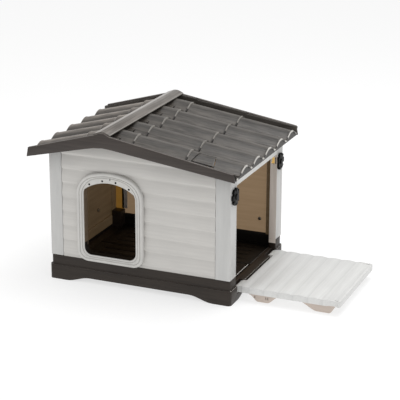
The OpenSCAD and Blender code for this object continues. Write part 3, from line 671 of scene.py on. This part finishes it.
def course_stations(ends, slope):
    """(distance, crown height) down a slope, with a bead and a step at each course's end."""
    stations = []
    for i, (a, b) in enumerate(zip(ends, ends[1:])):
        top, end = CROWN_RIDGE - slope * a - STEP, CROWN_RIDGE - slope * b
        last = i == len(ends) - 2

        def height(s):
            return top + (end - top) * (s - a) / (b - a)

        if i == 0:
            stations += [(s, height(s)) for s in (a + 1.5, FLANGE_END - 0.5, FLANGE_END)]
            a_free = FLANGE_END + 3
        else:
            a_free = a + 0.6
        stations += [(s, height(s)) for s in spread(a_free, b - LIP_W - 3, 30)]
        bead = ((LIP_W, 0), (LIP_SHADE, 0.1), (LIP_EDGE + 1.4, 0.3), (LIP_EDGE, 1), (1.2, 0.8))
        stations += [(b - w, height(b - w) + LIP * rise) for w, rise in bead]
        stations.append((b - 0.1 if last else b, end - 0.9))
    return stations


def slope_shell(name, ends, slope, side):
    """One slope of tiles; side is 1 to the right of the ridge and -1 to the left."""
    stations = course_stations(ends, slope)
    span = ends[-1]
    plate_far, plate_near = span - EAVE_PLATE[0], span - EAVE_PLATE[1]

    def crown_at(s):
        before = [p for p in stations if p[0] <= s][-1]
        after = [p for p in stations if p[0] >= s][0]
        share = 0 if after[0] == before[0] else (s - before[0]) / (after[0] - before[0])
        return before[1] + share * (after[1] - before[1])

    lows = [(s, z, False) for s, z in stations if not plate_near <= s <= plate_far]
    lows += [(plate_near - 0.05, crown_at(plate_near), False), (plate_near, crown_at(plate_near), True)]
    lows += [(plate_far, crown_at(plate_far), True), (plate_far + 0.05, crown_at(plate_far), False)]
    rows = []
    for s, z, plate in sorted(lows):
        skin = RIM_SKIN if s > plate_far else SKIN
        row = []
        for y in tile_places():
            rise = max(verge(y), -FLANGE_H) if s < FLANGE_END - 0.2 else verge(y)
            row.append((RIDGE_X + side * s, y, z + rise, EAVE_Z if plate else z + min(verge(y), 0) - skin))
        rows.append(row)
    return slab(name, rows)


def paint_slope(obj, ends, side):
    """Painted highlight on each course's end edge and painted shade in the crease behind it, a painted
    highlight on the rim and a dark closing plate at the eave.
    """

    def ahead(c):
        s = side * (c.x - RIDGE_X)
        return min(b - s for b in ends[1:] if b - s > -0.5)

    def at(c):
        return side * (c.x - RIDGE_X)

    def upper(c):
        return 0.66 < flank(c.y) or flank(c.y) < 0.12

    # Painted highlight on the upper part of each course's lip
    def edge_highlight(c, n):
        return ahead(c) < LIP_EDGE and n.z > -0.5 and upper(c)

    # Painted highlight on the eave's rim, in its valleys and on the flat pan by the front verge
    def rim(c, n):
        if at(c) < ends[-1] - LIP_EDGE or n.z < -0.5:
            return False
        return upper(c) or abs(flank(c.y) - 0.46) < 0.07 and c.y > FIRST_ROLL or c.y < VERGE_PAN

    # Painted shade in the crease behind each lip and on the steps between courses
    def crease(c, n):
        if n.z > 0.1 and ahead(c) < LIP_SHADE and 0.50 < flank(c.y) < 0.66:
            return True
        return any(-0.2 < at(c) - b < 0.7 for b in ends[1:-1]) and 0.46 < flank(c.y) < 0.70

    # Painted shade on the end of the flat strip beside the ridge cap
    def notch(c, n):
        return side * n.x > 0.7 and abs(at(c) - FLANGE_END + 0.25) < 1

    def plate(c, n):
        return at(c) > ends[-1] - EAVE_PLATE[0] - 0.5 and side * n.x > 0.7 and ahead(c) > 1

    inside = TILE_Y - VERGE_ZONE
    paint(obj, MATERIALS["verge"], lambda c, n: abs(c.y) > inside)
    paint(obj, MATERIALS["edge_highlight"], lambda c, n: abs(c.y) < inside and edge_highlight(c, n))
    paint(obj, MATERIALS["rim"], lambda c, n: abs(c.y) < inside and rim(c, n))
    paint(obj, MATERIALS["dark"], lambda c, n: abs(c.y) < inside and (crease(c, n) or notch(c, n)))
    paint(obj, MATERIALS["plate"], plate)


SPAN_RIGHT, SPAN_LEFT = EAVE_RIGHT - RIDGE_X, RIDGE_X - EAVE_LEFT
ENDS_RIGHT = [0, SPAN_RIGHT - 2 * COURSE_RIGHT, SPAN_RIGHT - COURSE_RIGHT, SPAN_RIGHT]
ENDS_LEFT = [0, SPAN_LEFT - COURSE_LEFT, SPAN_LEFT]

# The vent lies in the lowest course of the right slope; its frame runs down that course
VENT_COURSE = ENDS_RIGHT[2]
VENT_TILT = math.atan((SLOPE_RIGHT * COURSE_RIGHT - STEP) / COURSE_RIGHT)
VENT_START = (227 - RIDGE_X - VENT_COURSE) / math.cos(VENT_TILT)
VENT_LEN, VENT_LEAN = 98, 13                # along the front edge, and how far each side leans in
VENT_Y = (-297, -243)
VENT_AXIS_Z = wave(VENT_Y[1]) - 4
HINGE_GAP = 4.2


def on_vent(u, v, w):
    """From the vent course's frame to the part's."""
    x = RIDGE_X + VENT_COURSE + u * math.cos(VENT_TILT) + w * math.sin(VENT_TILT)
    z = CROWN_RIDGE - SLOPE_RIGHT * VENT_COURSE - STEP - u * math.sin(VENT_TILT) + w * math.cos(VENT_TILT)
    return (x, v, z)


def vent_prism(outline_yz, u0, u1, name="tool"):
    """Solid along the vent course over an outline of (y, z) in its frame."""
    return prism(outline_yz, lambda v, w, u: on_vent(u, v, w), u0, u1, name)


def vent_side(v, gap=0.0):
    """Both ends of the vent's opening at v, drawn in by gap."""
    lean = VENT_LEAN * (v - VENT_Y[0]) / (VENT_Y[1] - VENT_Y[0])
    return VENT_START + lean + gap, VENT_START + VENT_LEN - lean - gap


def near_vent(c):
    """Whether a point is beside the vent's opening."""
    u = (c.x - RIDGE_X - VENT_COURSE) / math.cos(VENT_TILT)
    return VENT_START - 2 < u < VENT_START + VENT_LEN + 8 and VENT_Y[0] - 1 < c.y < VENT_Y[1] + HINGE_GAP + 1


def roof_slopes():
    left = slope_shell("roof_left_tiles", ENDS_LEFT, SLOPE_LEFT, -1)
    place(left, "house", MATERIALS["roof_left"], ["roof_left"], sharp=40)
    paint_slope(left, ENDS_LEFT, -1)
    right = slope_shell("roof_right_tiles", ENDS_RIGHT, SLOPE_RIGHT, 1)
    for u in (VENT_START + VENT_LEAN - 9, VENT_START + VENT_LEN - VENT_LEAN):
        boss = vent_prism(circle(VENT_Y[1], VENT_AXIS_Z, 4, 20), u, u + 9)
        combine(right, boss, "UNION")
    front, rear = VENT_Y[0], VENT_Y[1] + HINGE_GAP
    plan = [(vent_side(front)[0], front), (vent_side(front)[1], front), (vent_side(rear)[1], rear),
            (vent_side(rear)[0], rear)]
    combine(right, prism(plan, on_vent, -90, 90))
    place(right, "house", MATERIALS["roof"], ["roof_right"], sharp=40)
    paint_slope(right, ENDS_RIGHT, 1)
    # Painted shade on the walls of the vent's opening
    paint(right, MATERIALS["dark"], lambda c, n: abs(n.z) < 0.4 and near_vent(c))


def vent_hatch():
    """Lid in the roll, with a hinge barrel at its rear."""
    gap, front_gap = 3.0, 6.0
    rows = []
    for share in [0, 0.02, 0.06] + [i / 10 for i in range(1, 10)] + [0.94, 0.98, 1]:
        edge = 0.0 if 0.01 < share < 0.99 else -0.8
        row = []
        for v in spread(VENT_Y[0] + front_gap, VENT_Y[1], 2.5):
            u0, u1 = vent_side(v, gap)
            row.append((u0 + (u1 - u0) * share, v, wave(v) + edge, wave(v) - 4))
        rows.append(row)
    u0, u1 = vent_side(VENT_Y[1], gap)
    obj = slab("vent_hatch_lid", rows, on_vent)
    combine(obj, vent_prism(circle(VENT_Y[1], VENT_AXIS_Z, 3.5, 20), u0, u1), "UNION")
    combine(obj, vent_prism(circle(VENT_Y[1], VENT_AXIS_Z, 1.6, 16), u0 - 5, u1 + 5))
    place(obj, "vent", MATERIALS["roof"], ["vent_hatch"], sharp=40)
    # Painted shade on the lid's underside and edges
    paint(obj, MATERIALS["dark"], lambda c, n: n.z < 0.3)


def ridge_cap():
    """Cap of three facets with rounded corners, a painted highlight on its left facet and along its right-hand
    edge.
    """
    top, right, left, drop, thick = CAP_HIGH.z, CAP_HIGH.x - RIDGE_X, CAP_LOW.x - RIDGE_X, 11, 4
    over = [(left, -drop), (left + 2, -drop + 1.6), (left + 12, -drop + 5.0),
            (-16, -2.6), (-9, -0.7), (-4, 0), (6, 0), (12, -1.3), (20, -4.4),
            (right - 3, -drop + 1.6), (right - 1, -drop + 0.6), (right, -drop)]
    under = [(left, -drop - thick), (-9.5, -thick - 0.5), (9.5, -thick - 0.5), (right, -drop - thick)]
    section = [(RIDGE_X + x, top + z) for x, z in over + under[::-1]]
    obj = prism(section, on_xz, CAP_LOW.y, CAP_HIGH.y, "ridge_cap_moulding")
    round_edges(obj, 0.6, 2, 25)
    place(obj, "house", MATERIALS["cap"], ["ridge_cap"], sharp=30)
    edge = RIDGE_X + right - 3.2
    # Painted highlight on the left facet and along the right-hand edge
    paint(obj, MATERIALS["cap_left"], lambda c, n: n.x < -0.15 and n.z > 0.2)
    paint(obj, MATERIALS["edge_highlight"], lambda c, n: c.x > edge and n.z > 0.2 and abs(c.y) < CAP_HIGH.y - 1)


# ---------------------------------------------------------------- copies of CAD nodes with rounded edges


def base_edges(c, n):
    """The ledge and the sill tongue's outer edge, which get a painted highlight."""
    if c.x > LEDGE_X and abs(c.z - LEDGE_Z) < 4:
        return n.x > 0.1 and n.z > 0.1
    return c.x > TONGUE_X - 4 and abs(c.y) < 143 and n.x > 0.1 and n.z > 0.1


def front_ledge(c, n):
    return abs(c.z - LEDGE_Z) < 3 and n.z > 0.1


def floor_ends(c, n):
    return c.x > 340 and n.x > 0.1 and n.z > 0.1


def top_edges(c, n):
    return n.z > 0.2


LEDGE_X, LEDGE_Z = 389, 61
TONGUE_X = 395
EDGE_HIGHLIGHTS = {                                    # bevels that get a painted highlight
    "base_tray": [("glint", base_edges), ("brown_edge", front_ledge)],
    "floor_panel_front": [("glint", floor_ends)],
    "floor_panel_rear": [("brown_edge", floor_ends)],
    "front_fascia": [("brown_edge", top_edges)],
    "rear_fascia": [("brown_edge", top_edges)],
}


LINING_LOW = 64                             # the left wall's tan inside reaches down to here
REVEAL_LOW = 84                             # the doorway posts' reveals, which get painted light, reach down to here
LEG_SLOTS_X, LEG_SLOT_W = (460, 505.5, 514), 2.8
LEG_SLOTS_Z, LEG_SLOT_DEPTH = (13, 24), 3
LEG_FACE = 206.5                            # outer face of each leg, from the middle
POCKET_X, POCKET_Y = 780.6, 249.7           # middle of each latch pocket
SLOT_X, SLOT_Z = 380, (429.6, 457.4)        # outer side and height of the slot in the rear right post


def base_lining(obj):
    """Splits the tray's inner faces at the lower ends of the tan lining and of the reveals that get painted
    light.
    """
    bm = bmesh.new()
    bm.from_mesh(obj.data)
    for z in (LINING_LOW, REVEAL_LOW):
        everything = bm.verts[:] + bm.edges[:] + bm.faces[:]
        bmesh.ops.bisect_plane(bm, geom=everything, plane_co=(0, 0, z * MM), plane_no=(0, 0, 1))
    bm.to_mesh(obj.data)
    bm.free()


def leg_slots(obj):
    """Three small slots in the outer face of a leg's first foot."""
    outer = math.copysign(1, obj.data.vertices[0].co.y)
    face = outer * LEG_FACE
    low, high = LEG_SLOTS_Z
    for x in LEG_SLOTS_X:
        combine(obj, block((x, face - outer * LEG_SLOT_DEPTH, low), (x + LEG_SLOT_W, face + outer * 5, high)))


def latch_bumps(obj):
    """Crescents where the latch pockets' walls rise through the top of the side wall."""
    for side in (-1, 1):
        turns = [math.radians(58 + 64 * i / 16) for i in range(17)]
        arc = [(POCKET_X + r * math.cos(t), side * (POCKET_Y - r * math.sin(t)))
               for r, order in ((42.5, 1), (38.5, -1)) for t in turns[::order]]
        combine(obj, prism(arc, on_xy, PANEL_HIGH.z - 6, PANEL_HIGH.z + 0.6), "UNION")


def slot_shadow(obj):
    """A narrow groove along the outer side of the slot in the reveal."""
    combine(obj, block((SLOT_X - 0.2, 200, SLOT_Z[0]), (SLOT_X + 3.5, 236, SLOT_Z[1])))


# Painted shade on the walls of the leg slots
def leg_slot_walls(c, n):
    low, high = LEG_SLOTS_Z
    return abs(n.x) > 0.7 and low <= c.z <= high and 450 < c.x < 520


def lined_tray(c, n):
    """Whether a face of the tray continues the left wall's tan inside."""
    return c.z > LINING_LOW and c.x < -365 and n.x > -0.1 and abs(c.y) < 232


def tray_reveal(c, n):
    """Whether a face of the tray continues a doorway post's reveal, which gets painted light."""
    return c.z > REVEAL_LOW and c.x > 355 and abs(c.y) < 229 and n.y * c.y < -150


EXTRA = {                                   # shapes added to a copy before its edges are rounded
    "base_tray": base_lining,
    "post_rear_right": slot_shadow,
    "panel_leg_front": leg_slots,
    "panel_leg_rear": leg_slots,
    "side_panel": latch_bumps,
}
ROOM = {                                    # faces of a copy that get another colour, most towards the room: painted shade and painted light, some of it glowing
    "post_rear_left": [("lining_dim", lambda c, n: n.x > 0.3 or n.y < -0.3),
                       ("amber", lambda c, n: n.y < -0.7 and c.y > 260)],
    "post_front_left": [("lining_dim", lambda c, n: c.y > -274 and (n.x > 0.3 or n.y > 0.3))],
    "post_rear_right": [("lining_dim", lambda c, n: n.y < -0.7 and c.y > 262),
                        ("reveal", lambda c, n: n.y < -0.7 and c.y < 228),
                        ("gold", lambda c, n: in_slot(c) and (n.y < -0.7 or n.x > 0.7)),
                        ("dark", lambda c, n: in_slot(c) and c.x > SLOT_X - 1)],
    "door_liner": [("sleeve", lambda c, n: c.z > SILL_DARK), ("floor", lambda c, n: c.z <= SILL_DARK)],
    "base_tray": [("floor", lambda c, n: c.z > 50 and abs(c.y) < 275 and n.z < 0.7 and in_room(c, n)),
                  ("lining_dim", lined_tray),
                  ("reveal", tray_reveal)],
    "panel_leg_front": [("dark", leg_slot_walls)],
    "panel_leg_rear": [("dark", leg_slot_walls)],
}


def in_slot(c):
    return 363 < c.x < SLOT_X + 6 and 427 < c.z < 460 and 226.3 < c.y < 240


def in_room(c, n):
    """Whether a face of the tray looks into the room."""
    return n.x > 0.5 and c.x < -330 or n.y > 0.5 and c.y < -230 or n.y < -0.5 and c.y > 230


def rounded_copy(node, name, body, material, width, segments=2, sharp=35):
    obj = add_object(name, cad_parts[node].data.copy())
    join_faces(obj)
    if node in EXTRA:
        EXTRA[node](obj)
    obj.data.materials.clear()
    obj.data.materials.append(MATERIALS[material])
    edge_highlight = EDGE_HIGHLIGHTS.get(node, [])
    if edge_highlight:
        obj.data.materials.append(MATERIALS[edge_highlight[0][0]])
    round_edges(obj, width, segments, edge_slot=1 if edge_highlight else -1)
    place(obj, body, None, [node], sharp)
    if edge_highlight:
        bevels = {face.index for face in obj.data.polygons if face.material_index == 1}
        keep_paint(obj, 1, edge_highlight[0][1])
        for other, test in edge_highlight[1:]:
            obj.data.materials.append(MATERIALS[other])
            for index in bevels:
                face = obj.data.polygons[index]
                if face.material_index == 0 and test(face.center / MM, face.normal):
                    face.material_index = len(obj.data.materials) - 1
    for other, test in ROOM.get(node, []):
        paint(obj, MATERIALS[other], test)


ROUNDED = [
    ("base_tray", "base_tray_moulding", "house", "base_brown", "brown", 3.0),
    ("floor_panel_front", "drain_floor_front", "house", "floor_brown", "floor", 2.4),
    ("floor_panel_rear", "drain_floor_rear", "house", "floor_brown", "floor", 1.4),
    ("post_front_left", "front_left_post", "house", "house_wall", "post", 3),
    ("post_rear_left", "rear_left_post", "house", "house_wall", "post", 3),
    ("post_front_right", "front_right_post", "house", "house_wall", "post", 3),
    ("post_rear_right", "rear_right_post", "house", "house_wall", "post", 3),
    ("side_lintel", "side_lintel_moulding", "house", "house_wall", "lintel", 2),
    ("door_liner", "door_liner_ring", "house", "house_wall", "door", 1),
    ("wall_bolts", "wall_bolt_nuts", "house", "hinge_steel", "steel", 0.8),
    ("front_fascia", "front_fascia_board", "house", "base_brown", "board", 1.8),
    ("rear_fascia", "rear_fascia_board", "house", "base_brown", "board", 1.8),
    # The vent grille gets the near-black of painted shade
    ("vent_grille", "vent_grille_plate", "house", "base_brown", "dark", 0.4),
    ("vent_hinge_pin", "vent_hinge_rod", "house", "hinge_steel", "steel", 0.3),
    ("panel_hinge_pin_front", "hinge_rod_front", "house", "hinge_steel", "steel", 0.5),
    ("panel_hinge_pin_rear", "hinge_rod_rear", "house", "hinge_steel", "steel", 0.5),
    ("side_panel", "veranda_panel", "veranda", "veranda_white", "panel", 1.2),
    ("panel_leg_front", "leg_rail_front", "leg_front", "leg_beige", "leg", 1),
    ("panel_leg_rear", "leg_rail_rear", "leg_rear", "leg_beige", "leg", 1),
    ("leg_hinge_pins_front", "leg_rods_front", "veranda", "hinge_steel", "steel", 0.4),
    ("leg_hinge_pins_rear", "leg_rods_rear", "veranda", "hinge_steel", "steel", 0.4),
    ("latch_knob_front", "latch_disc_front", "latch_front", "latch_black", "black", 0.8),
    ("latch_knob_rear", "latch_disc_rear", "latch_rear", "latch_black", "black", 0.8),
    ("latch_spindle_front", "latch_rod_front", "latch_front", "hinge_steel", "steel", 0.5),
    ("latch_spindle_rear", "latch_rod_rear", "latch_rear", "hinge_steel", "steel", 0.5),
    ("latch_clip_front", "latch_ring_front", "latch_front", "hinge_steel", "steel", 0.4),
    ("latch_clip_rear", "latch_ring_rear", "latch_rear", "hinge_steel", "steel", 0.4),
]

front_wall()
rear_wall()
left_wall()
door_surround()
roof_slopes()
vent_hatch()
ridge_cap()
for node, name, body, slot, material, width in ROUNDED:
    rounded_copy(node, name, body, material, width)

# ---------------------------------------------------------------- floor, light and camera


def floor():
    """Pale floor that glows like a lit studio table, so that shadows on it stay faint."""
    mesh = bpy.data.meshes.new("studio_floor")
    half = 40
    corners = [(-half, -half, 0), (half, -half, 0), (half, half, 0), (-half, half, 0)]
    mesh.from_pydata(corners, [], [(0, 1, 2, 3)])
    obj = add_object("studio_floor", mesh)
    material = bpy.data.materials.new("studio_floor")
    material.use_nodes = True
    shader = material.node_tree.nodes["Principled BSDF"]
    shader.inputs["Base Color"].default_value = (0.38, 0.38, 0.38, 1)
    shader.inputs["Roughness"].default_value = 1.0
    shader.inputs["Specular IOR Level"].default_value = 0.0
    shader.inputs["Emission Color"].default_value = (1, 1, 1, 1)
    shader.inputs["Emission Strength"].default_value = 0.66
    mesh.materials.append(material)


def softbox(name, location, target, size, power):
    light = bpy.data.lights.new(name, "AREA")
    light.size = size
    light.energy = power
    obj = add_object(name, light)
    obj.location = location
    obj.rotation_euler = (Vector(target) - Vector(location)).to_track_quat("-Z", "Y").to_euler()


def studio():
    world = bpy.data.worlds.new("studio")
    world.use_nodes = True
    background = world.node_tree.nodes["Background"]
    background.inputs["Color"].default_value = (1.0, 1.0, 1.0, 1)
    background.inputs["Strength"].default_value = 0.70
    bpy.context.scene.world = world
    softbox("overhead", (0.8, 0.6, 3.6), (0.1, 0, 0.3), 2.2, 66)
    softbox("key", (-2.6, -3.4, 3.6), (0, 0, 0.2), 2.4, 22)
    bpy.context.scene.view_settings.view_transform = "Standard"


def camera():
    """Camera in front and to the right: yaw about Z, then tilt down, then a small roll."""
    data = bpy.data.cameras.new("camera")
    data.sensor_width = 36
    data.lens = 133.37
    data.clip_end = 100
    obj = add_object("camera", data)
    yaw, tilt, roll = math.radians(22.7), math.radians(18.66), math.radians(0.21)
    turn = Matrix.Rotation(yaw, 4, "Z") @ Matrix.Rotation(math.pi / 2 - tilt, 4, "X")
    turn = turn @ Matrix.Rotation(roll, 4, "Z")
    obj.matrix_world = Matrix.Translation((2.3328, -5.2398, 2.2297)) @ turn
    bpy.context.scene.camera = obj


floor()
studio()
camera()
